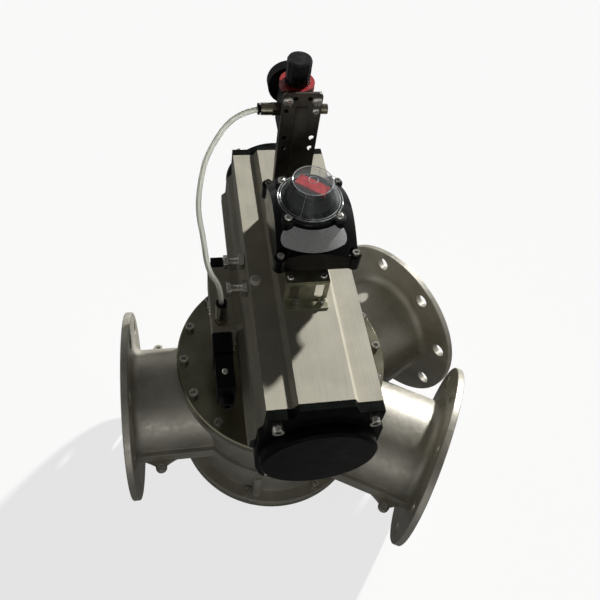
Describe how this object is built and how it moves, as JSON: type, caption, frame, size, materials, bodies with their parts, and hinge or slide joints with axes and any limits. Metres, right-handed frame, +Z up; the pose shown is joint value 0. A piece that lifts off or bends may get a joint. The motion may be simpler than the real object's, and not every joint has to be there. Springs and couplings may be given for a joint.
{
  "type": "plug diverter valve",
  "caption": "Two-way plug diverter valve: one flanged inlet, two angled outlets, a rotary plug, a pneumatic rack and pinion actuator, pilot valve, position switch and air set.",
  "frame": {"origin": "where the plug's axis crosses the plane of the three port centrelines", "axes": "+Z up along the plug's axis, -X out of the inlet, the outlets 30 degrees either side of +X, -Y towards the solenoid valve's connector"},
  "size_m": [0.5209, 0.5058, 0.676],
  "materials": {
    "stainless_casting": "bead-blasted satin casting",
    "machined_stainless": "turned satin",
    "bracket_stainless": "folded sheet and bar, satin",
    "bright_screws": "bright stainless screws",
    "anodised_aluminium": "hard anodised, matte",
    "cast_aluminium": "die-cast and machined",
    "nickelled_steel": "electroless nickel",
    "black_coated_metal": "black powder coat, satin",
    "black_moulding": "moulded, fine spark texture",
    "smoked_bowl": "moulded guard",
    "red_moulding": "moulded, semi-gloss",
    "cream_moulding": "moulded",
    "clear_dome": "clear polycarbonate",
    "nickelled_brass": "nickel-plated brass",
    "needle_enamel": "black enamel",
    "seal_rubber": "nitrile, matte",
    "white_ptfe": "white PTFE",
    "air_tubing": "translucent polyurethane tube"
  },
  "bodies": {
    "valve": {"actuator_body": "anodised_aluminium", "air_tube": "air_tubing", "body": "stainless_casting", "bonnet": "black_moulding", "bottom_cover": "machined_stainless", "bowl": "smoked_bowl", "bracket_screws": "bright_screws", "cap_gaskets": "seal_rubber", "cap_screws": "bright_screws", "coil": "black_moulding", "connector": "black_moulding", "cover_screws": "bright_screws", "dome_screws": "bright_screws", "front_cap": "black_coated_metal", "gauge_case": "black_moulding", "gauge_glass": "clear_dome", "label_plate": "bracket_stainless", "micro_switches": "black_moulding", "mount_bracket": "bracket_stainless", "pan_screws": "bright_screws", "pilot_cap": "black_moulding", "pinion_bearings": "white_ptfe", "plug_bushes": "white_ptfe", "port_plug": "cream_moulding", "purge_plugs": "bright_screws", "push_fittings": "nickelled_brass", "rear_cap": "black_coated_metal", "regulator_body": "black_moulding", "seal_rings": "seal_rubber", "small_screws": "bright_screws", "stop_nuts": "bright_screws", "supply_plate": "bracket_stainless", "supply_plug": "nickelled_brass", "switch_base": "black_moulding", "switch_dome": "clear_dome", "switch_feet": "bracket_stainless", "switch_lid": "black_moulding", "switch_plate": "bracket_stainless", "thrust_washer": "white_ptfe", "top_cover": "machined_stainless", "valve_body": "anodised_aluminium"},
    "plug": {"plug": "machined_stainless", "window_seals": "white_ptfe", "plug_rings": "seal_rubber", "pinion": "nickelled_steel", "switch_spindle": "black_moulding", "switch_cams": "cream_moulding", "indicator": "red_moulding"},
    "front_piston": {"front_piston": "cast_aluminium", "front_piston_rings": "seal_rubber"},
    "rear_piston": {"rear_piston": "cast_aluminium", "rear_piston_rings": "seal_rubber"},
    "stop_bolt_front": {"stop_bolt_front": "bright_screws"},
    "stop_bolt_rear": {"stop_bolt_rear": "bright_screws"},
    "knob": {"knob": "black_moulding"},
    "lock_ring": {"lock_ring": "red_moulding"},
    "override_button": {"override_button": "red_moulding"},
    "gauge_needle": {"gauge_needle": "needle_enamel"},
    "valve_collar": {"valve_collar": "black_moulding"},
    "supply_collar": {"supply_collar": "black_moulding"}
  },
  "joints": [
    {"name": "plug_turn", "type": "hinge", "parent": "valve", "child": "plug", "pos_m": [0, 0, 0], "axis": [0, 0, 1], "range_deg": [0, 150]},
    {"name": "front_piston_slide", "type": "slide", "parent": "valve", "child": "front_piston", "axis": [0, 1, 0], "range_m": [0, 0.05236]},
    {"name": "rear_piston_slide", "type": "slide", "parent": "valve", "child": "rear_piston", "axis": [0, -1, 0], "range_m": [0, 0.05236]},
    {"name": "front_stop_adjust", "type": "slide", "parent": "valve", "child": "stop_bolt_front", "axis": [-1, 0, 0], "range_m": [0, 0.006]},
    {"name": "rear_stop_adjust", "type": "slide", "parent": "valve", "child": "stop_bolt_rear", "axis": [-1, 0, 0], "range_m": [0, 0.006]},
    {"name": "knob_turn", "type": "hinge", "parent": "valve", "child": "knob", "pos_m": [-0.006, 0.102, 0.52], "axis": [0, 0, 1], "range_deg": [0, 1080]},
    {"name": "lock_ring_lift", "type": "slide", "parent": "valve", "child": "lock_ring", "axis": [0, 0, 1], "range_m": [0, 0.003]},
    {"name": "override_press", "type": "slide", "parent": "valve", "child": "override_button", "axis": [0, 0, -1], "range_m": [0, 0.0015], "stiffness_N_per_m": 800, "springref_m": -0.0005},
    {"name": "needle_turn", "type": "hinge", "parent": "valve", "child": "gauge_needle", "pos_m": [-0.0085, 0.1336, 0.482], "axis": [0, -1, 0], "range_deg": [0, 270], "stiffness_Nm_per_rad": 0.0005, "springref_deg": -17.19},
    {"name": "valve_collar_press", "type": "slide", "parent": "valve", "child": "valve_collar", "axis": [0, 0, -1], "range_m": [0, 0.001], "stiffness_N_per_m": 2000, "springref_m": -0.0005},
    {"name": "supply_collar_press", "type": "slide", "parent": "valve", "child": "supply_collar", "axis": [1, 0, 0], "range_m": [0, 0.001], "stiffness_N_per_m": 2000, "springref_m": -0.0005}
  ],
  "couplings": [
    {"joint": "front_piston_slide", "follows": "plug_turn", "m_per_rad": 0.02},
    {"joint": "rear_piston_slide", "follows": "plug_turn", "m_per_rad": 0.02}
  ]
}
